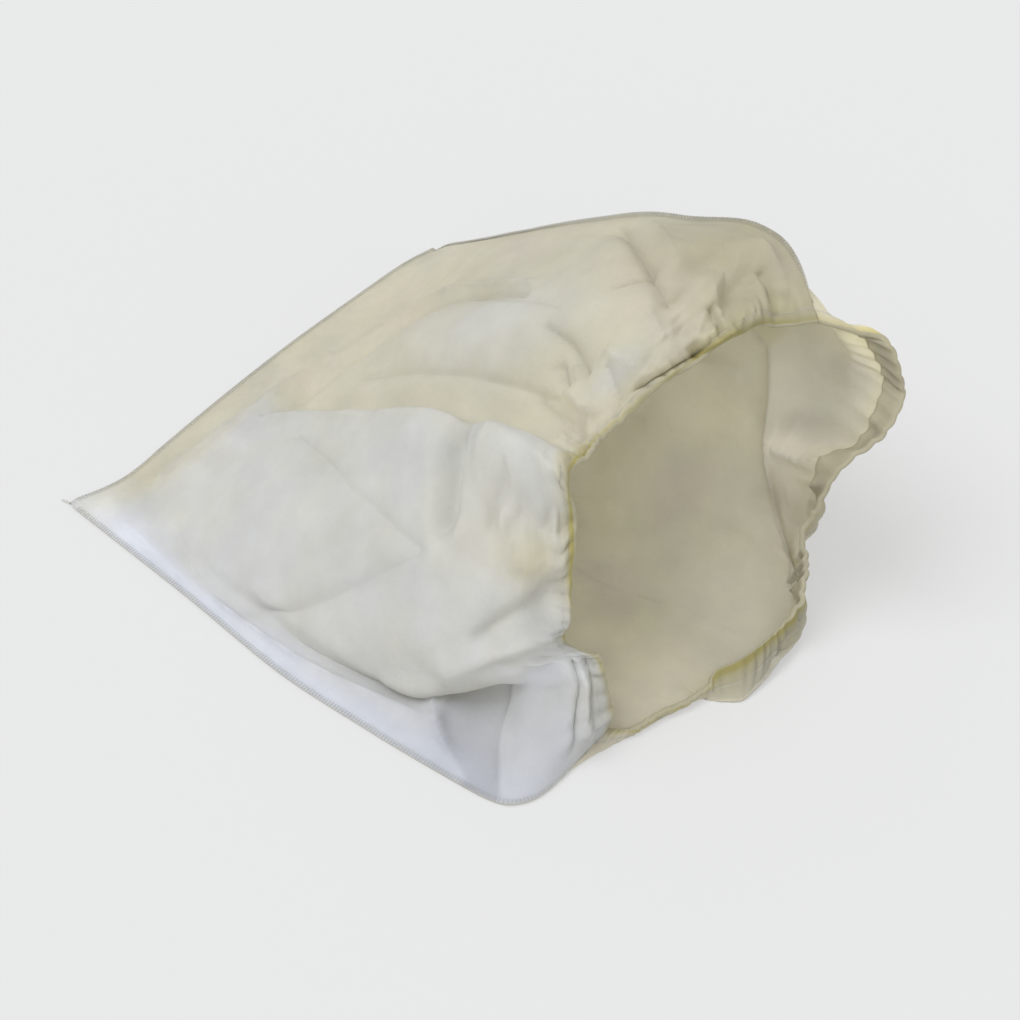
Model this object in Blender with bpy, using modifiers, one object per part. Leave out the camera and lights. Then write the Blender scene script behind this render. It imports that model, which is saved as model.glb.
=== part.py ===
"""Elasticated dust bag for a woodworking dust collector, lying on its side with the mouth open.

Two fabric panels are overlocked together along the bottom and both sides. The mouth edge is turned
in and stitched to make a casing, and a flat elastic band runs round inside the casing.

Frame: the floor is z = 0, +X runs from the bottom seam to the mouth, and +Y runs along the bottom
seam from the front side seam to the back one. The origin is on the floor, in the patch that the bag
rests on. The curves below are given from the front bottom corner, and ORIGIN moves them.
"""

import bmesh
import bpy
import numpy as np

MM = 0.001

# Fabric, seam allowance and hem, in millimetres
SHEET = 1.2  # one layer of felted fabric
GAP = 0.3  # clearance left between pieces that touch on the real bag
FLANGE = 8.0  # seam allowance outside the seam line
FIN = 1.6  # what is left of the allowance where it runs into the hem
FIN_END = 0.962  # share of the bag's length where the allowance stops
TURN = 4.0  # radius of the hem's fold
FLAP = 17.0  # depth of the part of the hem that lies inside
FLAP_STEPS = (5.0, 11.0, FLAP)
TURN_STEPS = 4

# Elastic band in the hem, in millimetres
ELASTIC_WIDTH = 10.0
ELASTIC_THICKNESS = 1.0
ELASTIC_BACK = 7.5  # from the fold line to the middle of the band
ELASTIC_DEPTH = 3.2  # inside the middle of the outer layer
LAP = 26.0  # how far the band's two ends lie over each other
LAP_RISE = 1.4  # how much deeper the second end lies than the first
LAP_START = 24  # step round the mouth, counted from the front seam over the top, where the lap is

# Threads, in millimetres
OVERLOCK_SHARE = 0.62  # of the allowance's width that the overlock covers
OVERLOCK_WALL = 0.6
OVERLOCK_START = 0.10
OVERLOCK_END = 0.90
STITCH_RADIUS = 0.4
STITCH_BACK = 15.0  # from the fold line to the row of hem stitching
STITCH_CLEAR = 1.2
TAIL_RADIUS = 1.1
TAIL_LENGTH = 16.0

ORIGIN = np.array((300.0, 150.0, 0.0))  # of the frame, from the front bottom corner

# Grid of each panel
ALONG = (0.0, 0.016, 0.036) + tuple(np.linspace(0.06, 0.92, 18)) + (0.942, FIN_END, 0.970, 0.978, 0.988, 1.0)
ACROSS = tuple(np.linspace(0.0, 1.0, 33))

FLOOR = SHEET / 2  # height of the fabric's middle where the bag lies on the floor
SEAM = 2.6  # height of the seam lines on the floor, which keeps the overlock clear of it

# Seam along the bottom of the bag: rows of share of its length, x, y, z.
BOTTOM_SEAM = (
    (0.00, 0, 0, SEAM), (0.18, 0, 105, SEAM), (0.30, -6, 172, SEAM), (0.45, -16, 259, SEAM), (0.62, -25, 362, SEAM),
    (0.80, -30, 466, SEAM), (1.00, -32, 574, SEAM))

# Guide curves from the bottom seam to the fold of the hem. Each is where it lies across the panel, from 0
# at the front side seam to 1 at the back one, then rows of: share of the way along, x, y, z.
FRONT_SEAM = (0.0, (
    (0.25, 180, -1, SEAM), (0.45, 322, -4, SEAM), (0.62, 449, 5, SEAM), (0.73, 538, 16, SEAM),
    (0.80, 590, 30, SEAM), (0.87, 613, 61, 4), (0.93, 619, 97, 15), (1.00, 613, 142, 40)))
BACK_SEAM = (1.0, (
    (0.04, -6, 570, 14), (0.10, 36, 560, 50), (0.25, 145, 514, 146), (0.45, 298, 486, 258), (0.60, 402, 486, 314),
    (0.75, 478, 504, 330), (0.88, 540, 492, 326), (1.00, 592, 466, 309)))
UPPER_GUIDES = (
    FRONT_SEAM,
    (0.08, ((0.08, 57, 40, 8), (0.25, 182, 24, 9), (0.45, 327, 26, 10), (0.62, 450, 46, 14),
            (0.70, 498, 66, 22), (0.80, 550, 88, 36), (0.90, 594, 118, 50), (1.00, 604, 155, 66))),
    (0.14, ((0.08, 57, 72, 11), (0.25, 182, 36, 22), (0.45, 328, 30, 30), (0.62, 452, 46, 36),
            (0.73, 508, 76, 54), (0.80, 543, 94, 74), (0.90, 576, 128, 86), (1.00, 593, 154, 92))),
    (0.20, ((0.08, 55, 105, 13), (0.25, 181, 64, 42), (0.45, 328, 46, 56), (0.62, 452, 48, 72),
            (0.73, 502, 66, 86), (0.80, 530, 88, 98), (0.90, 558, 114, 103), (1.00, 569, 144, 103))),
    (0.36, ((0.08, 56, 165, 18), (0.25, 182, 150, 84), (0.45, 330, 128, 148), (0.62, 440, 108, 172),
            (0.80, 522, 130, 180), (1.00, 552, 170, 176))),
    (0.50, ((0.08, 60, 222, 24), (0.25, 185, 206, 106), (0.45, 315, 206, 184), (0.62, 400, 205, 222),
            (0.80, 475, 204, 248), (1.00, 520, 212, 252))),
    (0.58, ((0.08, 60, 262, 26), (0.25, 188, 246, 110), (0.45, 318, 248, 182), (0.62, 402, 248, 216),
            (0.80, 474, 241, 247), (1.00, 516, 239, 264))),
    (0.75, ((0.08, 56, 370, 36), (0.25, 183, 358, 148), (0.45, 318, 345, 242), (0.62, 405, 340, 292),
            (0.80, 484, 345, 312), (1.00, 528, 347, 288))),
    (0.90, ((0.08, 45, 482, 46), (0.25, 165, 452, 160), (0.45, 308, 434, 262), (0.62, 402, 430, 319),
            (0.80, 492, 446, 338), (1.00, 550, 420, 302))),
    BACK_SEAM,
)
LOWER_GUIDES = (
    FRONT_SEAM,
    (0.10, ((0.06, 40, 62, FLOOR), (0.25, 182, 62, FLOOR), (0.62, 452, 72, FLOOR),
            (0.85, 582, 113, FLOOR), (1.00, 628, 162, 16))),
    (0.30, ((0.06, 37, 180, FLOOR), (0.25, 182, 185, FLOOR), (0.62, 452, 195, FLOOR),
            (0.85, 600, 240, FLOOR), (1.00, 680, 258, 6))),
    (0.45, ((0.06, 35, 268, FLOOR), (0.25, 182, 262, FLOOR), (0.62, 452, 275, FLOOR),
            (0.85, 600, 315, 2), (1.00, 686, 320, 24))),
    (0.60, ((0.06, 30, 352, FLOOR), (0.25, 182, 330, 6), (0.45, 330, 325, 30), (0.62, 450, 335, 48),
            (0.85, 588, 392, 76), (1.00, 662, 396, 84))),
    (0.75, ((0.06, 25, 440, 5), (0.25, 174, 405, 50), (0.45, 322, 395, 115), (0.62, 440, 405, 150),
            (0.85, 578, 446, 166), (1.00, 664, 440, 172))),
    (0.88, ((0.06, 18, 505, 18), (0.25, 162, 466, 95), (0.45, 312, 450, 185), (0.62, 425, 458, 235),
            (0.85, 570, 484, 255), (1.00, 668, 506, 244))),
    BACK_SEAM,
)


def curve_at(rows, at):
    """Point on the smooth curve through rows of (parameter, x, y, z), which never overshoots a row."""
    keys = np.array([row[0] for row in rows], float)
    values = np.array([row[1:] for row in rows], float)
    steps = np.diff(values, axis=0) / np.diff(keys)[:, None]
    low, high = steps[:-1], steps[1:]
    turning = low * high <= 0
    total = np.where(turning, 1.0, low + high)
    middle = np.where(turning, 0.0, 2 * low * high / total)
    slopes = np.vstack([steps[0], middle, steps[-1]])
    i = int(np.clip(np.searchsorted(keys, at, side="right") - 1, 0, len(keys) - 2))
    span = keys[i + 1] - keys[i]
    t = (at - keys[i]) / span
    return (
        values[i] * (2 * t**3 - 3 * t**2 + 1)
        + values[i + 1] * (3 * t**2 - 2 * t**3)
        + slopes[i] * span * (t**3 - 2 * t**2 + t)
        + slopes[i + 1] * span * (t**3 - t**2)
    )


def panel_at(guides, along, across):
    """Point on the loft through a panel's guides, which all start from the bottom seam."""
    section = []
    for where, rows in guides:
        rows = ((0.0, *curve_at(BOTTOM_SEAM, where)),) + tuple(rows)
        section.append((where, *curve_at(rows, along)))
    return curve_at(section, across)


def unit(vector):
    return vector / np.linalg.norm(vector)


def along_at(guides, along, across):
    """Unit direction towards the mouth, and how many millimetres one whole share of length is worth."""
    low, high = max(along - 0.004, 0.0), min(along + 0.004, 1.0)
    step = (panel_at(guides, high, across) - panel_at(guides, low, across)) / (high - low)
    return unit(step), float(np.linalg.norm(step))


def normal_at(guides, along, across):
    """Unit direction out of the bag; the two panels share one on the side seams."""
    if across in (0.0, 1.0):
        return seam_frame("front" if across == 0.0 else "back", along)[2]
    low, high = max(across - 0.006, 0.0), min(across + 0.006, 1.0)
    step = panel_at(guides, along, high) - panel_at(guides, along, low)
    out = unit(np.cross(along_at(guides, along, across)[0], step))
    return out if guides is UPPER_GUIDES else -out


def seam_frame(side, at):
    """Where a seam line is, its direction, the way its allowance sticks out, and the way to the upper panel."""
    clear = min(max(at, 0.05), 0.95 if side == "bottom" else 1.0)  # the corners have no inside of their own
    if side == "bottom":
        here, root, inside = (0.0, at), (0.0, clear), (0.03, clear)
        before, after = (0.0, max(at - 0.01, 0.0)), (0.0, min(at + 0.01, 1.0))
    else:
        edge, step = (0.0, 0.03) if side == "front" else (1.0, -0.03)
        here, root, inside = (at, edge), (clear, edge), (clear, edge + step)
        before, after = (max(at - 0.01, 0.0), edge), (min(at + 0.01, 1.0), edge)
    line = unit(panel_at(UPPER_GUIDES, *after) - panel_at(UPPER_GUIDES, *before))
    point = panel_at(UPPER_GUIDES, *here)
    inward = []
    for guides in (UPPER_GUIDES, LOWER_GUIDES):
        step = panel_at(guides, *inside) - panel_at(guides, *root)
        inward.append(unit(step - line * np.dot(step, line)))
    upper, lower = inward
    turn = -1.0 if side == "front" else 1.0
    out = unit(turn * np.cross(upper - lower, line) - (upper + lower))
    resting = float(np.clip((SEAM + 6.0 - point[2]) / 6.0, 0.0, 1.0))  # an allowance on the floor lies flat
    out = unit(out - np.array((0.0, 0.0, out[2] * resting)))
    out = unit(out - line * np.dot(out, line))
    up = np.cross(out, line)
    return point, line, out, up if np.dot(up, upper - lower) > 0 else -up


def allowance(along):
    """Width of a side seam's allowance, which narrows towards the hem."""
    share = float(np.clip((along - 0.78) / (FIN_END - 0.78), 0.0, 1.0))
    return FLANGE + (FIN - FLANGE) * share * share * (3 - 2 * share)


def panel_rows(guides):
    """Middle of a panel's fabric: seam allowance, body, the hem's fold and the flap inside it."""
    sign = 1.0 if guides is UPPER_GUIDES else -1.0
    lift = sign * (SHEET + GAP) / 2
    sides = {(side, at): seam_frame(side, at) for side in ("front", "back") for at in ALONG}
    rows = []
    for along in ALONG:
        row = [panel_at(guides, along, across) for across in ACROSS]
        for point, across in zip(row, ACROSS):
            near = max(1 - along / 0.1, (1 - min(across, 1 - across) / 0.1) * min((0.9 - along) / 0.2, 1.0), 0.0)
            point[2] = max(point[2] + lift * near, FLOOR)
        for column, side in ((0, "front"), (-1, "back")):
            point, _, out, up = sides[side, along]
            row[column] = point + up * lift
            edge = row[column] + out * allowance(along) if along <= FIN_END else None
            row = [edge] + row if side == "front" else row + [edge]
        rows.append(row)
    rows.insert(0, list(rows[0]))
    for column, across in enumerate(ACROSS, start=1):
        point, _, out, up = seam_frame("bottom", across)
        rows[1][column] = point + up * lift
        rows[0][column] = rows[1][column] + out * FLANGE
    for column, beside, side in ((0, 1, "front"), (-1, -2, "back")):
        rows[1][column] = rows[1][beside] + sides[side, 0.0][2] * FLANGE
        rows[0][column] = rows[0][beside] + sides[side, 0.0][2] * FLANGE
    for angle in np.linspace(0.0, np.pi, TURN_STEPS + 1)[1:]:
        row = [None]
        for column, across in enumerate(ACROSS, start=1):
            edge = rows[len(ALONG)][column]
            forward, out = along_at(guides, 1.0, across)[0], normal_at(guides, 1.0, across)
            row.append(edge + out * TURN * (np.cos(angle) - 1) + forward * TURN * np.sin(angle))
        rows.append(row + [None])
    for back in FLAP_STEPS:
        row = [None]
        for column, across in enumerate(ACROSS, start=1):
            along = 1.0 - back / along_at(guides, 1.0, across)[1]
            shift = rows[len(ALONG)][column] - panel_at(guides, 1.0, across)
            row.append(panel_at(guides, along, across) + shift - normal_at(guides, along, across) * 2 * TURN)
        rows.append(row + [None])
    return rows


def mouth_loop(back, depth):
    """Points once round the mouth, a distance back from the fold and a depth inside the fabric's middle."""
    loop = []
    for guides, order in ((UPPER_GUIDES, ACROSS), (LOWER_GUIDES, ACROSS[::-1])):
        for across in order[1:]:
            along = 1.0 - back / along_at(guides, 1.0, across)[1]
            loop.append(panel_at(guides, along, across) - normal_at(guides, along, across) * depth)
    return loop


def band_rows(start):
    """Elastic band that starts at one step round the mouth and ends by lapping over its own start."""
    half = ELASTIC_WIDTH / 2
    edges = {}
    for rise in (0.0, LAP_RISE):
        edges[rise] = [mouth_loop(ELASTIC_BACK + side, ELASTIC_DEPTH + rise) for side in (half, -half)]
    count = len(edges[0.0][0])
    rows = [[edge[(start + i) % count] for edge in edges[0.0]] for i in range(count - 1)]
    rows.append([edge[(start - 1) % count] for edge in edges[LAP_RISE]])
    rows.append([edge[start] for edge in edges[LAP_RISE]])
    width = np.linalg.norm(rows[1][0] - rows[0][0])
    share = (LAP - width) / width if LAP > width else 0.0
    last = [edge[start + 1] for edge in edges[LAP_RISE]]
    after = [edge[start + 2] for edge in edges[LAP_RISE]]
    rows.append(last)
    rows.append([a * (1 - share) + b * share for a, b in zip(last, after)])
    return rows


# ---- Blender objects

for old in list(bpy.data.objects):
    bpy.data.objects.remove(old, do_unlink=True)
bag = bpy.data.collections.new("elasticated_dust_bag")
bpy.context.scene.collection.children.link(bag)


def give_material(thing, colour, roughness):
    material = bpy.data.materials.new(thing.name + "_material")
    material.use_nodes = True
    shader = material.node_tree.nodes["Principled BSDF"]
    shader.inputs["Base Color"].default_value = (*colour, 1.0)
    shader.inputs["Roughness"].default_value = roughness
    thing.data.materials.append(material)


def add_sheet(name, rows, thickness, colour, roughness=0.9, ring=False):
    """A sheet of even thickness whose middle passes through a grid of points; None leaves a cell out."""
    mesh = bpy.data.meshes.new(name)
    shape = bmesh.new()
    grid = [[None if p is None else shape.verts.new(tuple((p - ORIGIN) * MM)) for p in row] for row in rows]
    if ring:
        grid.append(grid[0])
    for low, high in zip(grid, grid[1:]):
        for i in range(len(low) - 1):
            corners = (low[i], low[i + 1], high[i + 1], high[i])
            if None not in corners:
                shape.faces.new(corners)
    bmesh.ops.recalc_face_normals(shape, faces=shape.faces)
    shape.to_mesh(mesh)
    shape.free()
    thing = bpy.data.objects.new(name, mesh)
    bag.objects.link(thing)
    solidify = thing.modifiers.new("Thickness", "SOLIDIFY")
    solidify.thickness = thickness * MM
    solidify.offset = 0.0
    solidify.use_even_offset = True
    solidify.use_rim = True
    give_material(thing, colour, roughness)
    return thing


def add_thread(name, points, radius, colour, ring=False, sides=3):
    """A round thread through points."""
    curve = bpy.data.curves.new(name, "CURVE")
    curve.dimensions = "3D"
    curve.bevel_depth = radius * MM
    curve.bevel_resolution = sides - 2
    curve.use_fill_caps = not ring
    spline = curve.splines.new("POLY")
    spline.points.add(len(points) - 1)
    for knot, point in zip(spline.points, points):
        knot.co = (*((point - ORIGIN) * MM), 1.0)
    spline.use_cyclic_u = ring
    thing = bpy.data.objects.new(name, curve)
    bag.objects.link(thing)
    weld = thing.modifiers.new("Join caps", "WELD")
    weld.merge_threshold = 0.00001
    give_material(thing, colour, 0.8)
    return thing


def add_overlock(name, side, positions, width_at):
    """Thread wrapped over the edge of a seam allowance, as one thin channel along the seam."""
    rows = []
    reach = SHEET + GAP / 2 + GAP + OVERLOCK_WALL / 2
    for at in positions:
        point, _, out, up = seam_frame(side, at)
        width = width_at(at)
        edge = point + out * (width + GAP + OVERLOCK_WALL / 2)
        root = point + out * (width * (1 - OVERLOCK_SHARE))
        rows.append([root + up * reach, edge + up * reach, edge - up * reach, root - up * reach])
    return add_sheet(name, rows, OVERLOCK_WALL, (0.72, 0.70, 0.66), 0.85)


WHITE = (0.78, 0.77, 0.74)
add_sheet("upper_panel", panel_rows(UPPER_GUIDES), SHEET, WHITE)
add_sheet("lower_panel", panel_rows(LOWER_GUIDES), SHEET, (0.70, 0.68, 0.60))

# Elastic band, whose two ends lap over each other at the back of the mouth and are sewn together there
add_sheet("elastic_band", band_rows(LAP_START), ELASTIC_THICKNESS, (0.66, 0.60, 0.36), 0.7)
depth = ELASTIC_DEPTH + LAP_RISE + ELASTIC_THICKNESS / 2 + GAP + STITCH_RADIUS
tack_edges = [mouth_loop(ELASTIC_BACK + side, depth) for side in (3.4, -3.4)]
tack = []
for i in range(9):
    share = 0.1 + 0.8 * i / 8
    edge = tack_edges[i % 2]
    tack.append(edge[LAP_START] * (1 - share) + edge[LAP_START + 1] * share)
add_thread("elastic_join_stitches", tack, STITCH_RADIUS, (0.80, 0.79, 0.75))

# Hem stitching once round the mouth, just outside the fabric
thread = mouth_loop(STITCH_BACK, -(SHEET / 2 + STITCH_CLEAR + STITCH_RADIUS))
add_thread("hem_stitching", thread, STITCH_RADIUS, (0.80, 0.79, 0.75), ring=True)

# Overlock stitching over the edge of each seam
bottom = np.linspace(0.0, 1.0, 25)
add_overlock("bottom_seam_overlock", "bottom", bottom, lambda at: FLANGE)
side = [at for at in ALONG if OVERLOCK_START < at < OVERLOCK_END]
add_overlock("front_seam_overlock", "front", side, allowance)
add_overlock("back_seam_overlock", "back", side, allowance)

# Tail of overlock thread left at the front bottom corner
tail = [(-9.6 - TAIL_LENGTH * t, -4.0 - 5.0 * t * t, TAIL_RADIUS + 0.4 * (1 - t)) for t in np.linspace(0, 1, 7)]
add_thread("overlock_thread_tail", tail, TAIL_RADIUS, (0.72, 0.70, 0.66))
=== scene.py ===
"""Elasticated dust bag for a dust collector, lying on its side: the cloth, its hem, elastic and stitching."""

import math

import bpy
import numpy as np
from mathutils import Matrix


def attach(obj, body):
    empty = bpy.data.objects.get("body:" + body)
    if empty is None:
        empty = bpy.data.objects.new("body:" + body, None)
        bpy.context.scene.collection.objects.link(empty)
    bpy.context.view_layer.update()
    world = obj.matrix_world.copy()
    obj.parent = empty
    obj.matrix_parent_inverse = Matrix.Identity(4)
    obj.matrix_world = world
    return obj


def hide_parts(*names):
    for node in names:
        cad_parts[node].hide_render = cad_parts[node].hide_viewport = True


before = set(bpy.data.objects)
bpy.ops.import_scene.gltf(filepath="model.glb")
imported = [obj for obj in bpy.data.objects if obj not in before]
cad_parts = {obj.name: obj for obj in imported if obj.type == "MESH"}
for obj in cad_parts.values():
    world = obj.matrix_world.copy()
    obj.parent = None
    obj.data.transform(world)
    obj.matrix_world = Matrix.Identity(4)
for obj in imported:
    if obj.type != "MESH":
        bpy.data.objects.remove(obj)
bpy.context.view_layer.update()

# ---- The bag's shape, in millimetres from its front bottom corner: X to the mouth, Y along the bottom seam

CORNER = np.array((-300.0, -150.0, 0.0))  # the front bottom corner in the frame
LENGTH, WIDTH = 700.0, 610.0  # one flat panel, from the bottom seam to the fold of the hem
FLOOR = 0.6  # height of the cloth's middle where it lies on the floor
SEAM = 2.6  # height of a seam that lies on the floor

# A seam or guide is a line of (along, X, Y, Z); its first number is its place across the panel. The
# bottom seam's places are across it instead.
BOTTOM_SEAM = (
    (0.00, 0, 0, SEAM), (0.04, 8, 24, SEAM), (0.11, 12, 65, SEAM), (0.19, 5, 111, SEAM),
    (0.30, -4, 171, SEAM), (0.45, -16, 259, SEAM), (0.62, -26, 362, SEAM), (0.80, -32, 466, SEAM),
    (0.92, -35, 537, SEAM), (1.00, -31, 570, SEAM))
FRONT_SEAM = (0.0, (
    (0.25, 180, -1, SEAM), (0.45, 322, -5, SEAM), (0.62, 449, 5, SEAM), (0.73, 538, 16, SEAM),
    (0.80, 597, 27, SEAM), (0.87, 618, 57, 3), (0.93, 622, 94, 4), (1.00, 621, 149, 10)))
BACK_SEAM = (1.0, (
    (0.04, -12, 569, 20), (0.10, 34, 563, 52), (0.25, 145, 514, 146), (0.45, 298, 486, 258),
    (0.60, 402, 486, 314), (0.75, 475, 513, 328), (0.82, 508, 509, 330), (0.88, 543, 497, 325),
    (1.00, 591, 469, 306)))
UPPER_GUIDES = (
    FRONT_SEAM,
    (0.06, ((0.08, 57, 24, 6), (0.25, 182, 12, 6), (0.45, 325, 13, 9), (0.60, 440, 28, 15),
            (0.70, 503, 42, 20), (0.79, 553, 66, 12), (0.85, 582, 84, 28), (0.92, 605, 112, 40),
            (1.00, 609, 156, 50))),
    (0.10, ((0.08, 57, 48, 7), (0.25, 182, 22, 10), (0.45, 328, 25, 11), (0.62, 450, 54, 12),
            (0.70, 490, 84, 26), (0.76, 518, 104, 36), (0.81, 545, 108, 54), (0.90, 585, 130, 68),
            (1.00, 604, 158, 78))),
    (0.14, ((0.08, 57, 72, 10), (0.25, 182, 32, 21), (0.45, 328, 26, 26), (0.62, 452, 42, 30),
            (0.73, 508, 76, 47), (0.80, 546, 94, 70), (0.90, 574, 130, 88), (1.00, 597, 155, 92))),
    (0.20, ((0.08, 55, 105, 13), (0.25, 181, 62, 42), (0.45, 328, 45, 56), (0.62, 452, 46, 72),
            (0.73, 500, 66, 86), (0.80, 528, 88, 98), (0.90, 556, 112, 102), (1.00, 569, 144, 100))),
    (0.36, ((0.08, 56, 165, 18), (0.25, 182, 150, 84), (0.45, 330, 128, 148), (0.62, 440, 108, 172),
            (0.80, 522, 130, 180), (1.00, 552, 170, 176))),
    (0.50, ((0.08, 60, 222, 24), (0.25, 185, 206, 106), (0.45, 315, 206, 184), (0.62, 400, 205, 222),
            (0.80, 475, 204, 248), (1.00, 520, 212, 252))),
    (0.58, ((0.08, 60, 262, 26), (0.25, 188, 246, 110), (0.45, 318, 248, 182), (0.62, 402, 248, 216),
            (0.80, 474, 241, 247), (1.00, 518, 238, 262))),
    (0.75, ((0.08, 56, 370, 36), (0.25, 183, 358, 148), (0.45, 318, 345, 242), (0.62, 405, 340, 292),
            (0.80, 484, 345, 312), (1.00, 530, 349, 287))),
    (0.90, ((0.08, 45, 490, 46), (0.25, 165, 452, 160), (0.45, 308, 434, 262), (0.62, 402, 432, 320),
            (0.80, 492, 450, 342), (1.00, 550, 420, 300))),
    BACK_SEAM,
)
LOWER_GUIDES = (
    FRONT_SEAM,
    (0.10, ((0.06, 40, 62, FLOOR), (0.25, 182, 62, FLOOR), (0.62, 452, 72, FLOOR),
            (0.85, 592, 118, FLOOR), (0.94, 634, 154, FLOOR), (1.00, 638, 166, 8))),
    (0.20, ((0.06, 38, 121, FLOOR), (0.25, 182, 124, FLOOR), (0.62, 452, 134, FLOOR),
            (0.85, 596, 184, FLOOR), (0.94, 648, 200, FLOOR), (1.00, 652, 206, 9))),
    (0.28, ((0.06, 37, 170, FLOOR), (0.25, 182, 174, FLOOR), (0.62, 452, 186, FLOOR),
            (0.85, 604, 230, FLOOR), (0.94, 658, 244, FLOOR), (1.00, 660, 249, 12))),
    (0.33, ((0.06, 37, 198, FLOOR), (0.25, 182, 201, FLOOR), (0.62, 452, 210, FLOOR),
            (0.85, 606, 250, FLOOR), (0.94, 678, 258, FLOOR), (1.00, 655, 269, 16))),
    (0.38, ((0.06, 36, 226, FLOOR), (0.25, 182, 228, FLOOR), (0.62, 452, 236, FLOOR),
            (0.85, 610, 272, FLOOR), (0.94, 692, 274, 2), (1.00, 665, 295, 20))),
    (0.45, ((0.06, 35, 268, FLOOR), (0.25, 182, 262, FLOOR), (0.62, 452, 275, FLOOR),
            (0.85, 610, 315, 2), (0.94, 694, 313, 5), (1.00, 673, 332, 28))),
    (0.52, ((0.06, 33, 308, FLOOR), (0.25, 182, 294, 2), (0.62, 452, 302, 16),
            (0.85, 603, 350, 20), (0.94, 688, 364, 10), (1.00, 678, 362, 46))),
    (0.60, ((0.06, 30, 352, FLOOR), (0.25, 182, 330, 6), (0.45, 330, 325, 30), (0.62, 450, 335, 48),
            (0.85, 590, 396, 62), (0.94, 654, 411, 29), (1.00, 667, 395, 82))),
    (0.68, ((0.06, 28, 398, 2), (0.25, 178, 368, 24), (0.45, 326, 360, 72), (0.62, 446, 370, 100),
            (0.85, 580, 421, 112), (0.94, 627, 427, 79), (1.00, 652, 402, 131))),
    (0.75, ((0.06, 25, 440, 5), (0.25, 174, 405, 50), (0.45, 322, 395, 115), (0.62, 440, 405, 150),
            (0.85, 576, 443, 166), (0.94, 614, 435, 153), (1.00, 665, 423, 184))),
    (0.82, ((0.06, 23, 475, 12), (0.25, 168, 438, 74), (0.45, 317, 424, 152), (0.62, 432, 434, 195),
            (0.85, 572, 468, 212), (0.94, 634, 478, 210), (1.00, 685, 469, 222))),
    (0.88, ((0.06, 20, 505, 18), (0.25, 162, 466, 95), (0.45, 312, 450, 185), (0.62, 425, 460, 235),
            (0.85, 566, 484, 255), (0.94, 624, 502, 254), (1.00, 674, 500, 248))),
    (0.94, ((0.06, 5, 540, 20), (0.25, 152, 492, 120), (0.45, 304, 468, 222), (0.62, 414, 474, 280),
            (0.85, 548, 496, 294), (0.94, 592, 492, 292), (1.00, 653, 499, 293))),
    BACK_SEAM,
)


def spline(keys, values, at):
    """Smooth curves through values (keys on the first axis) that never overshoot, read at many places."""
    keys, values, at = np.asarray(keys, float), np.asarray(values, float), np.asarray(at, float)
    widths = np.diff(keys).reshape((-1,) + (1,) * (values.ndim - 1))
    steps = np.diff(values, axis=0) / widths
    low, high = steps[:-1], steps[1:]
    turning = low * high <= 0
    middle = np.where(turning, 0.0, 2 * low * high / np.where(turning, 1.0, low + high))
    slopes = np.concatenate([steps[:1], middle, steps[-1:]])
    i = np.clip(np.searchsorted(keys, at, side="right") - 1, 0, len(keys) - 2)
    t = ((at - keys[i]) / (keys[i + 1] - keys[i])).reshape((-1,) + (1,) * (values.ndim - 1))
    return (
        values[i] * (2 * t**3 - 3 * t**2 + 1)
        + values[i + 1] * (3 * t**2 - 2 * t**3)
        + slopes[i] * widths[i] * (t**3 - 2 * t**2 + t)
        + slopes[i + 1] * widths[i] * (t**3 - t**2)
    )


def loft(guides, along, across):
    """Grid of points, rows along the bag and columns across it."""
    keys = [where for where, _ in guides]
    seam = spline([row[0] for row in BOTTOM_SEAM], [row[1:] for row in BOTTOM_SEAM], keys)
    lines = []
    for start, (_, rows) in zip(seam, guides):
        places = [0.0] + [row[0] for row in rows]
        lines.append(spline(places, [tuple(start)] + [row[1:] for row in rows], along))
    return spline(keys, np.array(lines), across).transpose(1, 0, 2)


# ---- Folds, given on the flat panels: along from the bottom seam, across from the front side seam

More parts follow.
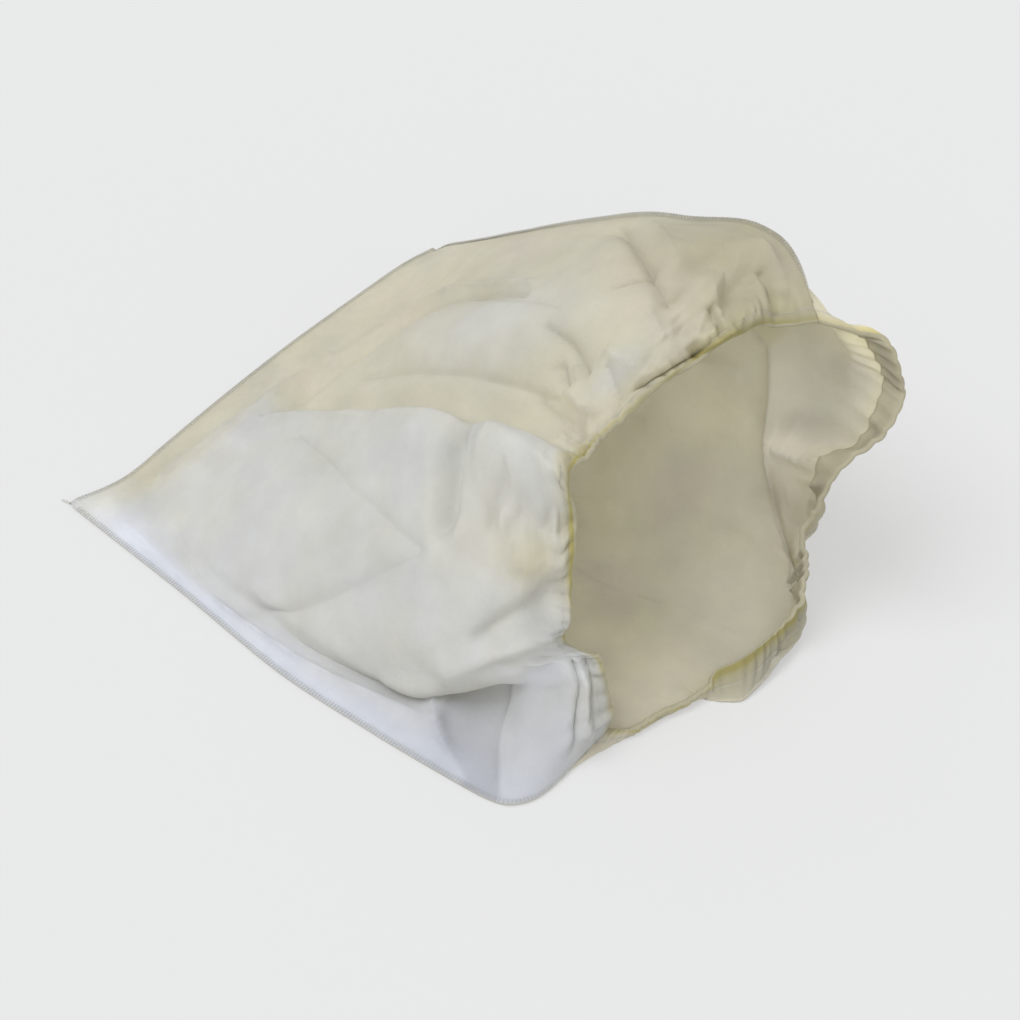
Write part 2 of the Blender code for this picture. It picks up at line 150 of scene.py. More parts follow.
# Each fold is a line of (along, across), its height in millimetres outwards, its half width, and how
# sharp it is: 1 is a straight-sided crease, 2 a soft roll.
UPPER_FOLDS = (
    (((0.10, 0.475), (0.295, 0.495), (0.525, 0.505), (0.765, 0.485), (0.97, 0.47)), 9, 30, 1),
    (((0.135, 0.565), (0.365, 0.55), (0.56, 0.555), (0.735, 0.56), (0.975, 0.53)), -9, 24, 2),
    (((0.05, 0.15), (0.06, 0.45), (0.065, 0.68), (0.13, 0.765), (0.295, 0.81), (0.45, 0.80)), 8, 11, 1),
    (((0.09, 0.48), (0.10, 0.68), (0.17, 0.745), (0.32, 0.785), (0.45, 0.78)), -8, 10, 1),
    (((0.30, 0.70), (0.45, 0.70), (0.58, 0.70)), 8, 55, 2),
    (((0.20, 0.63), (0.39, 0.635), (0.55, 0.63), (0.71, 0.625)), -5, 12, 1),
    (((0.33, 0.775), (0.45, 0.765), (0.575, 0.745)), -4, 12, 1),
    (((0.225, 0.42), (0.40, 0.35), (0.575, 0.335)), -6, 24, 1),
    (((0.58, 0.33), (0.465, 0.215), (0.36, 0.10)), -6, 20, 1),
    (((0.515, 0.475), (0.55, 0.43), (0.585, 0.385)), 2.5, 16, 2),
    (((0.585, 0.475), (0.60, 0.435), (0.61, 0.395)), -15, 17, 2),
    (((0.69, 0.465), (0.82, 0.475), (0.985, 0.462)), 13, 24, 2),
    (((0.755, 0.447), (0.73, 0.425), (0.713, 0.405)), -6, 9, 2),
    (((0.737, 0.408), (0.742, 0.404)), 5, 8, 2),
    (((0.785, 0.418), (0.86, 0.408), (0.90, 0.41)), -5, 11, 2),
    (((0.30, 0.035), (0.45, 0.045), (0.62, 0.055), (0.70, 0.053)), 4, 7, 1),
    (((0.64, 0.105), (0.692, 0.062), (0.724, 0.03), (0.754, 0.0)), 10, 8, 1),
    (((0.78, 0.125), (0.795, 0.08), (0.80, 0.05), (0.80, 0.0)), -5, 12, 1),
    (((0.925, 0.02), (0.93, 0.135)), -6, 6, 1),
    (((0.962, 0.01), (0.962, 0.13)), -7, 6, 1),
    (((0.944, 0.01), (0.946, 0.14)), 4, 6, 1),
    (((0.95, 0.412), (0.99, 0.418)), -4, 10, 2),
    (((0.79, 0.375), (0.87, 0.365), (0.95, 0.355)), 6, 14, 2),
    (((0.95, 0.325), (0.88, 0.302), (0.82, 0.27), (0.78, 0.24)), -7, 15, 2),
    (((0.985, 0.27), (0.90, 0.245), (0.80, 0.21), (0.72, 0.19)), 11, 18, 2),
    (((0.60, 0.15), (0.70, 0.155), (0.79, 0.165), (0.88, 0.175)), 5, 12, 2),
    (((0.51, 0.98), (0.545, 0.94), (0.655, 0.863), (0.72, 0.82), (0.78, 0.795)), -11, 12, 1),
    (((0.57, 0.98), (0.67, 0.91), (0.74, 0.86)), 7, 15, 1),
    (((0.70, 0.835), (0.66, 0.80)), -6, 9, 1),
    (((0.80, 0.80), (0.89, 0.79)), -8, 14, 2),
    (((0.95, 0.815), (0.99, 0.82)), 11, 9, 2),
    (((0.90, 0.83), (0.965, 0.835)), -6, 6, 1),
    (((0.955, 0.775), (0.985, 0.78)), -5, 6, 2),
    (((0.74, 0.80), (0.80, 0.765), (0.87, 0.75)), 6, 10, 1),
    (((0.575, 0.715), (0.65, 0.70), (0.74, 0.668)), -9, 9, 1),
    (((0.665, 0.67), (0.69, 0.655), (0.715, 0.645)), -8, 7, 1),
    (((0.70, 0.675), (0.725, 0.66)), 5, 5, 1),
    (((0.80, 0.685), (0.88, 0.665), (0.95, 0.655)), -4, 7, 1),
    (((0.66, 0.62), (0.74, 0.605), (0.85, 0.595), (0.945, 0.575)), -7, 9, 1),
    (((0.72, 0.64), (0.80, 0.625), (0.90, 0.615)), 7, 10, 1),
    (((0.77, 0.70), (0.86, 0.695), (0.94, 0.685)), 8, 14, 1),
    (((0.80, 0.575), (0.88, 0.56), (0.96, 0.555)), 5, 9, 1),
    (((0.955, 0.68), (0.972, 0.72), (0.985, 0.79)), -9, 7, 1),
    (((0.93, 0.79), (0.99, 0.80)), 7, 10, 2),
    (((0.93, 0.845), (0.99, 0.85)), 6, 9, 2),
    (((0.77, 0.88), (0.90, 0.895)), -11, 20, 2),
    (((0.86, 0.845), (0.93, 0.84), (0.985, 0.84)), 8, 12, 1),
    (((0.95, 0.90), (0.985, 0.905)), 6, 10, 2),
    (((0.88, 0.94), (0.975, 0.945)), -9, 12, 1),
    (((0.82, 0.965), (0.92, 0.97)), 6, 14, 2),
)
LOWER_FOLDS = (
    (((0.70, 0.92), (0.81, 0.865), (0.845, 0.745), (0.89, 0.67), (0.98, 0.57)), -12, 20, 1),
    (((0.87, 0.74), (0.975, 0.765)), -8, 9, 1),
    (((0.88, 0.775), (0.98, 0.80)), 7, 11, 2),
    (((0.86, 0.66), (0.97, 0.70)), 9, 18, 2),
    (((0.61, 0.495), (0.74, 0.465), (0.965, 0.475)), -4, 26, 1),
    (((0.35, 0.55), (0.60, 0.62), (0.85, 0.60)), 4, 30, 1),
    (((0.08, 0.93), (0.28, 0.80), (0.46, 0.74), (0.62, 0.73)), 7, 20, 1),
    (((0.16, 0.70), (0.34, 0.66), (0.52, 0.66)), -6, 22, 2),
    (((0.30, 0.97), (0.44, 0.88), (0.60, 0.83), (0.76, 0.82)), -7, 18, 1),
    (((0.55, 0.97), (0.66, 0.91), (0.80, 0.90)), 6, 16, 1),
    (((0.93, 0.86), (0.96, 0.96)), -6, 14, 2),
    (((0.915, 0.56), (0.92, 0.62), (0.925, 0.70)), -6, 13, 2),
    (((0.955, 0.70), (0.975, 0.735)), -8, 10, 1),
)

STEPS_ACROSS = 260
ALONG = np.concatenate([np.linspace(0.0, 0.80, 140, endpoint=False), np.linspace(0.80, 1.0, 61)])
ACROSS = np.linspace(0.0, 1.0, STEPS_ACROSS + 1)


def normals(grid, sign):
    """Unit directions out of the bag at a grid's points."""
    along = np.gradient(grid, axis=0)
    across = np.gradient(grid, axis=1)
    out = np.cross(along, across) * sign
    return out / np.maximum(np.linalg.norm(out, axis=2, keepdims=True), 1e-9)


def fold_heights(folds, along, across):
    """Height of all the folds at places on a flat panel, in millimetres."""
    x, y = along * LENGTH, across * WIDTH
    total = np.zeros_like(x)
    for line, height, half, power in folds:
        points = np.array(line, float) * (LENGTH, WIDTH)
        nearest = np.full_like(x, 1e9)
        for a, b in zip(points, points[1:]):
            step = b - a
            t = np.clip(((x - a[0]) * step[0] + (y - a[1]) * step[1]) / (step @ step), 0, 1)
            nearest = np.minimum(nearest, np.hypot(x - a[0] - t * step[0], y - a[1] - t * step[1]))
        share = nearest / half
        if power == 1:
            total += height * (0.85 * np.exp(-share * 1.3) + 0.2 * np.exp(-share * 5))
        else:
            total += height * np.exp(-share**2)
    return total


def noise(along, across, size, seed):
    """Smooth random heights between about -1 and 1 on a flat panel, with features of a given size."""
    rows, columns = int(LENGTH / size) + 4, int(WIDTH / size) + 4
    table = np.random.RandomState(seed).uniform(-1, 1, (rows, columns))
    x, y = along * LENGTH / size + 0.5, across * WIDTH / size + 0.5
    i, j = np.floor(x).astype(int), np.floor(y).astype(int)
    s, t = x - i, y - j
    s, t = s * s * (3 - 2 * s), t * t * (3 - 2 * t)
    i, j = np.clip(i, 0, rows - 2), np.clip(j, 0, columns - 2)
    low = table[i, j] * (1 - t) + table[i, j + 1] * t
    high = table[i + 1, j] * (1 - t) + table[i + 1, j + 1] * t
    return low * (1 - s) + high * s


def facets(along, across, size, seed):
    """Flat-sided random crumple between -1 and 1, with creases about a size in millimetres apart."""
    x = along * LENGTH / size + 0.55 * noise(along, across, size * 1.9, seed + 501) + 1.5
    y = across * WIDTH / size + 0.55 * noise(along, across, size * 1.9, seed + 502) + 1.5
    x, y = x + 0.35 * y, y - 0.2 * x + 0.2 * LENGTH / size
    table = np.random.RandomState(seed).uniform(-1, 1, (int(x.max()) + 3, int(y.max()) + 3))
    i, j = np.floor(x).astype(int), np.floor(y).astype(int)
    s, t = x - i, y - j
    a, b, c, d = table[i, j], table[i + 1, j], table[i, j + 1], table[i + 1, j + 1]
    near = a + (b - a) * s + (c - a) * t
    far = d + (c - d) * (1 - s) + (b - d) * (1 - t)
    return np.where(s + t < 1, near, far)


def patch(along, across, corners, soft):
    """1 inside a convex outline on the flat panel and 0 outside it, with an edge a few millimetres soft."""
    x, y = along * LENGTH, across * WIDTH
    points = np.array(corners, float) * (LENGTH, WIDTH)
    first, second = points[1] - points[0], points[2] - points[1]
    turn = first[0] * second[1] - first[1] * second[0]
    inside = np.full_like(x, 1e9)
    for a, b in zip(points, np.roll(points, -1, axis=0)):
        step = (b - a) / np.hypot(*(b - a)) * np.sign(turn)
        inside = np.minimum(inside, step[0] * (y - a[1]) - step[1] * (x - a[0]))
    return np.clip(inside / soft + 0.5, 0, 1)


def gathers(along, across, sign):
    """Puckers that run back from the elastic: round ridges with sharp valleys, each with its own length."""
    random = np.random.RandomState(31 if sign > 0 else 32)
    number = 44
    s = across * number + 0.9 * noise(along * 0.35, across, 60, 33) + 0.5 * noise(along, across, 40, 34) + 2
    k = np.clip(np.floor(s).astype(int), 0, number + 5)
    height, reach = random.uniform(1.5, 7.5, number + 6)[k], random.uniform(18, 80, number + 6)[k]
    back = (1 - along) * LENGTH
    fading = np.exp(-(back / reach) ** 2) * (0.5 + 0.5 * np.clip(back / 16, 0, 1))
    calm = 1 - 0.6 * np.exp(-((across - 0.19) / 0.05) ** 2) if sign > 0 else 1.0
    return (np.abs(np.sin(np.pi * s)) - 0.1) * height * fading * calm


ROUNDS = 60
STRETCH, SHEAR, BEND = 1.0, 0.35, 0.2  # how fully one round puts each of them right
SPANS = ((2, 1.0), (4, 0.6))  # steps between two points that keep a crease open, and their share of BEND


def strided(start, span, size):
    """One half of the places whose partners are a span on, so that no point is in two pairs."""
    first = range(start * span, (start + 1) * span)
    return np.concatenate([np.arange(k, size - span, 2 * span) for k in first])


def relax(grid, target, rest_along, rest_across, hold, floor):
    """Position-based cloth: keeps its threads' lengths and its set creases, and is drawn to a target."""
    falling = np.linalg.norm(target[1:, 1:] - target[:-1, :-1], axis=2)
    rising = np.linalg.norm(target[1:, :-1] - target[:-1, 1:], axis=2)

    def pull(a, b, rest, stiffness, only_short=False):
        step = grid[b] - grid[a]
        length = np.maximum(np.linalg.norm(step, axis=2, keepdims=True), 1e-6)
        change = (length - rest[..., None]) / length * (0.5 * stiffness)
        if only_short:
            change = np.minimum(change, 0.0)
        move = step * change
        grid[a] += move
        grid[b] -= move

    rows, columns = grid.shape[:2]
    for _ in range(ROUNDS):
        for start in (0, 1):
            end = rows - 1
            pull(np.s_[start:end:2], np.s_[start + 1:end + 1:2], rest_along[start::2], STRETCH)
            a, b = np.s_[:, start:columns - 1:2], np.s_[:, start + 1:columns:2]
            pull(a, b, rest_across[:, start::2], STRETCH)
        for start in (0, 1):
            here, there = np.s_[start:rows - 1:2], np.s_[start + 1:rows:2]
            pull((here, np.s_[:-1]), (there, np.s_[1:]), falling[start::2], SHEAR)
            pull((here, np.s_[1:]), (there, np.s_[:-1]), rising[start::2], SHEAR)
        for span, share in SPANS:
            length = np.linalg.norm(target[span:] - target[:-span], axis=2)
            for start in (0, 1):
                k = strided(start, span, rows)
                pull(k, k + span, length[k], BEND * share, True)
            length = np.linalg.norm(target[:, span:] - target[:, :-span], axis=2)
            for start in (0, 1):
                k = strided(start, span, columns)
                pull(np.s_[:, k], np.s_[:, k + span], length[:, k], BEND * share, True)
        grid += (target - grid) * hold[..., None]
        grid[..., 2] = np.maximum(grid[..., 2], floor)
    return grid


def near(distance, width):
    """1 at a distance of nothing, fading away over a width."""
    return np.exp(-(distance / width) ** 2)


def rise(value, start, width):
    """0 up to a start and 1 from a width past it; a negative width falls towards the start instead."""
    return np.clip((value - start) / width, 0, 1)


def crumples(u, v, height, sign, seed):
    """Random flat-sided crumples, stronger by the mouth and over the top, weaker on the floor."""
    mouth = near((1 - u) * LENGTH, 130)
    top = rise(v, 0.55, 0.15) * rise(u, 0.4, 0.2) if sign > 0 else 0.0
    total = facets(u, v, 95, seed) * 4.2 + facets(u, v, 48, seed + 1) * (1.8 + 4.2 * mouth + 1.6 * top)
    total += facets(u, v, 24, seed + 2) * (0.5 + 1.7 * mouth + 0.7 * top)
    if sign < 0:
        total *= (0.4 + 0.6 * np.clip(height / 60, 0, 1)) * np.clip(np.minimum(v, 1 - v) * WIDTH / 70, 0, 1)
    return total


def panel(guides, folds, sign, seed):
    """One cloth panel: its folds sculpted on the loft, then relaxed as slightly too much cloth."""
    u, v = np.meshgrid(ALONG, ACROSS, indexing="ij")
    base = loft(guides, ALONG, ACROSS)
    for _ in range(14):
        base[1:-1] = (base[:-2] + base[1:-1] * 2 + base[2:]) / 4
    height = base[..., 2]
    to_side = np.minimum(v, 1 - v) * WIDTH
    from_seams = np.clip(np.minimum(to_side / 22, u * LENGTH / 22), 0, 1) ** 1.5
    from_edges = np.clip(from_seams * 2, 0, 1)
    sculpted = (fold_heights(folds, u, v) * 1.35 + crumples(u, v, height, sign, seed)) * from_seams
    sculpted += gathers(u, v, sign) * from_edges * np.clip(height / 25, 0.3, 1)
    floor = np.full(u.shape, FLOOR if sign < 0 else FLOOR + 1.9)
    target = base + normals(base, sign) * sculpted[..., None]
    target[..., 2] = np.maximum(target[..., 2], floor)
    rest_along, rest_across = [np.linalg.norm(np.diff(target, axis=axis), axis=2) for axis in (0, 1)]
    to_mouth = (1 - u) * LENGTH
    loose = 1 + 0.05 * near(to_mouth, 60) * from_edges * np.clip(height / 50, 0.1, 1)
    hold = 0.03 + 0.5 * near(to_side, 5) + 0.5 * near(u * LENGTH, 5) + 0.10 * near(to_mouth, 4)
    hold[0] = hold[:, 0] = hold[:, -1] = 1.0
    rest_across *= (loose[:, 1:] + loose[:, :-1]) / 2
    return relax(target.copy(), target, rest_along, rest_across, hold, floor)


upper = panel(UPPER_GUIDES, UPPER_FOLDS, 1.0, 11)
lower = panel(LOWER_GUIDES, LOWER_FOLDS, -1.0, 47)


# ---- The two panels as cloth with thickness, seam allowances and a turned hem

CLOTH = 1.0  # thickness of the cloth
ALLOWANCE = 8.0
CASING = 17.0  # from the fold of the hem to its stitching
ROWS = len(ALONG)


def unit(vectors):
    """The vectors at length 1."""
    return vectors / np.maximum(np.linalg.norm(vectors, axis=-1, keepdims=True), 1e-9)


def across_line(line, vectors):
    """The part of the vectors that is square to a line."""
    return vectors - line * np.sum(vectors * line, axis=-1, keepdims=True)


def seam_frames(edge, upper_inside, lower_inside, side):
    """For every point of a seam: the way its allowance sticks out, and the way to the upper panel."""
    line = unit(np.gradient(edge, axis=0))
    a, b = unit(across_line(line, upper_inside - edge)), unit(across_line(line, lower_inside - edge))
    out = unit(side * np.cross(a - b, line) - (a + b))
    resting = np.clip((SEAM + 6.0 - edge[:, 2]) / 6.0, 0, 1)
    out[:, 2] *= 1 - resting
    out = unit(across_line(line, unit(out)))
    for _ in range(6):
        out[1:-1] = unit(out[:-2] + out[1:-1] * 2 + out[2:])
    up = np.cross(out, line)
    flip = np.sign(np.sum(up * (a - b), axis=1, keepdims=True))
    up *= np.where(np.median(flip) < 0, -1.0, 1.0)
    return out, up


front_out, front_up = seam_frames(upper[:, 0], upper[:, 5], lower[:, 5], -1.0)
back_out, back_up = seam_frames(upper[:, -1], upper[:, -6], lower[:, -6], 1.0)
bottom_out, bottom_up = seam_frames(upper[0], upper[5], lower[5], 1.0)

narrowing = np.clip((ALONG - 0.80) / 0.16, 0, 1)
side_allowance = ALLOWANCE * (1 - narrowing**2 * (3 - 2 * narrowing)) + 0.4


def separate(grid, sign):
    """Moves a panel half a layer to its own side of the seams, fading away from them."""
    lift = sign * (CLOTH / 2 + 0.06)
    u, v = np.meshgrid(ALONG, ACROSS, indexing="ij")
    grid = grid.copy()
    fade = np.clip(1 - v * WIDTH / 40, 0, 1) * np.clip((0.96 - u) / 0.1, 0, 1)
    grid += front_up[:, None] * (fade * lift)[..., None]
    fade = np.clip(1 - (1 - v) * WIDTH / 40, 0, 1) * np.clip((0.96 - u) / 0.1, 0, 1)
    grid += back_up[:, None] * (fade * lift)[..., None]
    fade = np.clip(1 - u * LENGTH / 40, 0, 1) * np.clip(np.minimum(v, 1 - v) * WIDTH / 30, 0, 1)
    grid += bottom_up[None] * (fade * lift)[..., None]
    grid[..., 2] = np.maximum(grid[..., 2], CLOTH / 2)
    return grid


def at_back(grid, back):
    """Points of every column a distance back from the fold."""
    place = 1.0 - back / LENGTH
    i = int(np.searchsorted(ALONG, place)) - 1
    t = (place - ALONG[i]) / (ALONG[i + 1] - ALONG[i])
    return grid[i] * (1 - t) + grid[i + 1] * t


upper, lower = separate(upper, 1.0), separate(lower, -1.0)


def ring_smooth(values, passes):
    """Values once round the mouth, each averaged with its neighbours."""
    for _ in range(passes):
        values = (np.roll(values, 1, 0) + values * 2 + np.roll(values, -1, 0)) / 4
    return values


def hem_frames():
    """Smooth directions round the mouth: forwards out of it, and outwards from the cloth."""
    forward, outward = [], []
    for grid, sign, order in ((upper, 1.0, slice(1, None)), (lower, -1.0, slice(-2, None, -1))):
        step = unit(grid[-1] - grid[-6])
        side = np.gradient(grid[-4], axis=0)
        forward.append(step[order])
        outward.append(unit(np.cross(step, side) * sign)[order])
    forward, outward = np.concatenate(forward), np.concatenate(outward)
    forward = unit(ring_smooth(forward, 8))
    outward = ring_smooth(outward, 8)
    return forward, unit(outward - forward * np.sum(outward * forward, axis=1, keepdims=True))


hem_forward, hem_outward = hem_frames()


def panel_shares(ring):
    """The two panels' shares of values that run once round the mouth, each over its own columns."""
    return {"upper": np.concatenate([ring[-1:], ring[:STEPS_ACROSS]]), "lower": ring[STEPS_ACROSS - 1:][::-1]}


def pucker(seed, size):
    """Random heights round the mouth that meet themselves."""
    values = np.random.RandomState(seed).uniform(-1, 1, 2 * STEPS_ACROSS)
    return ring_smooth(values, size) * math.sqrt(size)


forward_of, outward_of = panel_shares(hem_forward), panel_shares(hem_outward)
puff_of = panel_shares(pucker(5, 3) * 0.55)
TURN_ROWS = 6
LAID_BACK = ((3.5, 4.6), (7.0, 4.3), (10.5, 3.5), (14.0, 2.2), (CASING, 1.25), (19.0, 1.2))  # back, depth
HEM_ROWS = TURN_ROWS + len(LAID_BACK)


def hem_rows(grid, name):
    """Rows that turn the mouth's edge inside and lay it back as far as its stitching."""
    forward, outward = forward_of[name], outward_of[name]
    bump = puff_of[name][:, None]
    rows = []
    turn = 2.3 + 0.35 * bump
    for angle in np.linspace(0, math.pi, TURN_ROWS + 1)[1:]:
        rows.append(grid[-1] + outward * turn * (math.cos(angle) - 1) + forward * turn * math.sin(angle))
    for back, depth in LAID_BACK:
        rows.append(at_back(grid, back) - outward * (depth + 0.3 * bump))
    return rows


def shape_casing(grid, name):
    """Puffs the casing out between the fold and the stitching, and pinches it along the stitching."""
    back = (1.0 - ALONG) * LENGTH
    puffed = near(back - 7.5, 5.0)[:, None, None]
    pinched = near(back - CASING, 2.5)[:, None, None]
    grid += outward_of[name][None] * (puffed * (0.9 + puff_of[name][None, :, None] * 1.1) - pinched * 0.9)


def panel_grid(grid, name):
    """Full grid of a panel with its allowances and hem; NaN leaves a cell out."""
    shape_casing(grid, name)
    full = np.full((ROWS + 1 + HEM_ROWS, STEPS_ACROSS + 3, 3), np.nan)
    full[1:ROWS + 1, 1:-1] = grid
    full[ROWS + 1:, 1:-1] = hem_rows(grid, name)
    stop = int(np.searchsorted(ALONG, 0.965))
    full[1:stop + 1, 0] = (grid[:, 0] + front_out * side_allowance[:, None])[:stop]
    full[1:stop + 1, -1] = (grid[:, -1] + back_out * side_allowance[:, None])[:stop]
    full[0, 1:-1] = grid[0] + bottom_out * ALLOWANCE
    full[0, 0] = full[0, 1] + front_out[0] * ALLOWANCE
    full[0, -1] = full[0, -2] + back_out[0] * ALLOWANCE
    full[..., 2] = np.maximum(full[..., 2], CLOTH / 2)
    return full


# ---- The cloth's colour, with painted light and shade

# A spot is its centre (along, across), its half widths in millimetres and its amount.

# Spots that make the white warmer (above 0) or cooler (below 0): painted light for the most part, the cloth's
# cream tint in part.
TINT_AND_PAINTED_LIGHT_SPOTS = (
    ((0.45, 0.71), (105, 50), -0.62), ((0.66, 0.40), (60, 40), 0.25), ((0.85, 0.372), (72, 22), 0.85),
    ((0.85, 0.68), (55, 22), -0.55), ((0.88, 0.13), (50, 22), -0.30))
YELLOW_SPOTS = (
    ((0.975, 0.522), (30, 22), 0.60), ((1.0, 0.385), (17, 30), 0.60), ((1.0, 0.815), (24, 24), 0.50))
# Spots of painted light (above 0) and painted shade (below 0) on the upper panel, as factors on its colour.
PAINTED_LIGHT_SPOTS = (
    ((0.70, 0.10), (50, 10), 0.24), ((0.87, 0.15), (60, 28), 0.09), ((0.91, 0.27), (36, 14), -0.09),
    ((0.94, 0.452), (28, 26), 0.09), ((0.72, 0.627), (24, 14), 0.07))
STAINS = {  # round the mouth: a place across, a half width and an amount
    "upper": ((0.785, 0.014, 1.5), (0.82, 0.012, 0.5), (0.865, 0.012, 1.2), (0.53, 0.03, 1.3),
              (0.375, 0.05, 1.2), (0.93, 0.03, 0.4)),
    "lower": ((0.36, 0.07, 0.8), (0.50, 0.04, 0.5), (0.92, 0.04, 0.7), (0.15, 0.05, 0.3)),
}
# Outline of the face in the hollow by the lower corner, darkened with painted shade.
SHADED_FACE = ((0.685, 0.11), (0.70, 0.056), (0.76, -0.01), (0.80, -0.01), (0.795, 0.11))


def spot(u, v, centre, halves):
    """A soft round spot on the flat panel, 1 in its middle."""
    x, y = (u - centre[0]) * LENGTH / halves[0], (v - centre[1]) * WIDTH / halves[1]
    return np.exp(-(x**2 + y**2))


def tint_with_painted_light(name, u, v):
    """How warm the white is, 0 cool to 1 cream: partly the cloth's own cream tint, partly painted light, warm
    over the top and cool on the front.
    """
    mouth = near((1 - u) * LENGTH, 60)
    if name == "upper":
        # Painted light: the top warmer and the front cooler, as if lit warm from above and cool from the
        # front.
        warm = 0.06 + 0.74 / (1 + np.exp(-(v - 0.515) * 60))
        warm = np.maximum(warm, 0.78 * np.exp(-(u * LENGTH / 46) ** 4) * np.clip(v * 8, 0, 1))
        warm += 0.35 * mouth * np.clip(v * 3 - 0.5, 0, 1)
        # Painted light: the strip along the front seam cooler and whiter.
        warm -= 0.45 * near(v * WIDTH, 44) * np.clip(u * 8, 0, 1)
        warm += 0.30 * rise(u, 0.55, 0.2) * rise(v, 0.80, 0.08)
        warm += 0.30 * rise(u, 0.90, 0.04) * rise(v, 0.11, -0.03)
        for centre, halves, amount in TINT_AND_PAINTED_LIGHT_SPOTS:
            warm += amount * spot(u, v, centre, halves)
    else:
        warm = 0.84 + 0.08 * mouth
    blotch = noise(u, v, 55, 71) * 0.10 + noise(u, v, 24, 72) * 0.06
    return np.clip(warm + blotch, -0.45, 1.15)


def yellowing(name, u, v):
    """How yellow the cloth is: stains by the elastic that fade back from the mouth."""
    to_mouth = (1 - u) * LENGTH
    stain = 0.15 + 0.35 * noise(u * 0.2, v, 18, 74)
    for at, wide, amount in STAINS[name]:
        stain += amount * near(v - at, wide)
    stain = np.clip(stain, 0, 1)
    yellow = near(to_mouth, 6) * (0.35 + 0.65 * stain) + near(to_mouth, 22) * (0.10 + 0.35 * stain)
    if name == "upper":
        yellow += 0.14 * rise(u, 0.55, 0.2) * rise(v, 0.76, 0.08)
        for centre, halves, amount in YELLOW_SPOTS:
            yellow += amount * spot(u, v, centre, halves)
    return np.clip(yellow, 0, 1)


def tone_with_painted_light(name, u, v):
    """Random lightness of the cloth with painted light and shade, as a factor on its colour."""
    light = 1 + 0.03 * noise(u, v, 40, 75)
    if name == "upper":
        # Painted shade over the top by the mouth.
        light *= 1 - 0.11 * rise(u, 0.50, 0.2) * rise(v, 0.80, 0.10)
        # Painted light on the strip along the front seam, and on the left of the front and of the top.
        light *= 1 + 0.07 * near(v * WIDTH, 38) * rise(u, 0.72, -0.06)
        light *= 1 + 0.04 * rise(u, 0.45, -0.3) * rise(v, 0.45, -0.1)
        light *= 1 + 0.06 * rise(u, 0.35, -0.2) * rise(v, 0.5, 0.08)
        # Painted shade on the panel at the lower corner.
        light *= 1 - 0.05 * rise(u, 0.80, 0.02) * rise(v, 0.11, -0.03)
        # Painted shade on the face in the hollow by the lower corner.
        light *= 1 - 0.15 * patch(u, v, SHADED_FACE, 4)
        # Spots of painted light and painted shade.
        for centre, halves, amount in PAINTED_LIGHT_SPOTS:
            light *= 1 + amount * spot(u, v, centre, halves)
        return light
    # Painted shade in the lobe and on the flap, and painted light along the lobe's rim.
    lobe = rise(u, 0.80, 0.1) * rise(v - (u - 0.88) * 0.3, 0.755, 0.02) * rise(v, 0.94, -0.08)
    lobe_rim = rise(v, 0.78, 0.04) * rise(v, 0.985, -0.03) * near((1 - u) * LENGTH, 32)
    flap = rise(v, 0.29, 0.03) * rise(v, 0.56, -0.03) * rise(u, 0.945, 0.02)
    light *= (1 - 0.15 * lobe) * (1 + 0.26 * lobe_rim) * (1 - 0.13 * flap)
    # Painted light near the back seam by the mouth.
    light *= 1 + 0.12 * rise(v, 0.86, 0.03) * rise(u, 0.87, 0.04)
    # Painted shade over the middle of the inside, towards the mouth.
    light *= 1 - 0.08 * rise(u, 0.62, 0.12) * rise(v, 0.36, 0.08) * rise(v, 0.74, -0.05)
    return light


# Each field's attribute, the function that paints it and its value on the hem's turned rows: the first mixes
# the cloth's tint with painted warm and cool light, the second is stains by the elastic, the third is random
# lightness with painted light and shade.
COLOUR_FIELDS = (("warm", tint_with_painted_light, 1.0), ("yellow", yellowing, 0.22), ("painted_light_and_tone", tone_with_painted_light, 0.9))


def colour_fields(name):
    """The three colour fields over a panel's full grid, with one value each on the hem's turned rows."""
    u, v = np.meshgrid(ALONG, ACROSS, indexing="ij")
    fields = {}
    for label, field, on_hem in COLOUR_FIELDS:
        full = np.zeros((ROWS + 1 + HEM_ROWS, STEPS_ACROSS + 3))
        full[1:ROWS + 1, 1:-1] = field(name, u, v)
        full[ROWS + 1:] = on_hem
        full[0], full[:, 0], full[:, -1] = full[1], full[:, 1], full[:, -2]
        fields[label] = full
    return fields


def link(name, data):
    """A new object in the scene."""
    thing = bpy.data.objects.new(name, data)
    bpy.context.scene.collection.objects.link(thing)
    return thing


def mesh_object(name, points, faces):
    """A new object with a mesh, its points in metres."""
    mesh = bpy.data.meshes.new(name)
    mesh.from_pydata(points.tolist(), [], faces)
    mesh.update()
    return link(name, mesh)


def cloth_object(name, full, fields, flip):
    """A panel's grid as cloth with thickness, and its colour fields as attributes."""
    rows, columns = full.shape[:2]
    shown = ~np.isnan(full[..., 0])
    index = np.full((rows, columns), -1)
    index[shown] = np.arange(shown.sum())
    cells = np.stack([index[:-1, :-1], index[:-1, 1:], index[1:, 1:], index[1:, :-1]], axis=-1).reshape(-1, 4)
    cells = cells[(cells >= 0).all(axis=1)]
    if flip:
        cells = cells[:, ::-1]
    thing = mesh_object(name, (full[shown] + CORNER) / 1000, cells.tolist())
    for label, field in fields.items():
        attribute = thing.data.attributes.new(label, "FLOAT", "POINT")
        attribute.data.foreach_set("value", field[shown].astype(np.float32))
    thing.data.shade_smooth()
    solidify = thing.modifiers.new("Thickness", "SOLIDIFY")
    solidify.thickness = CLOTH / 1000
    solidify.offset = 0.0
    solidify.use_rim = True
    return thing


def ride(thing, node, material):
    """Gives a piece its material, and puts it on the body in place of its CAD node."""
    thing.data.materials.append(material)
    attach(thing, "root")
    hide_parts(node)


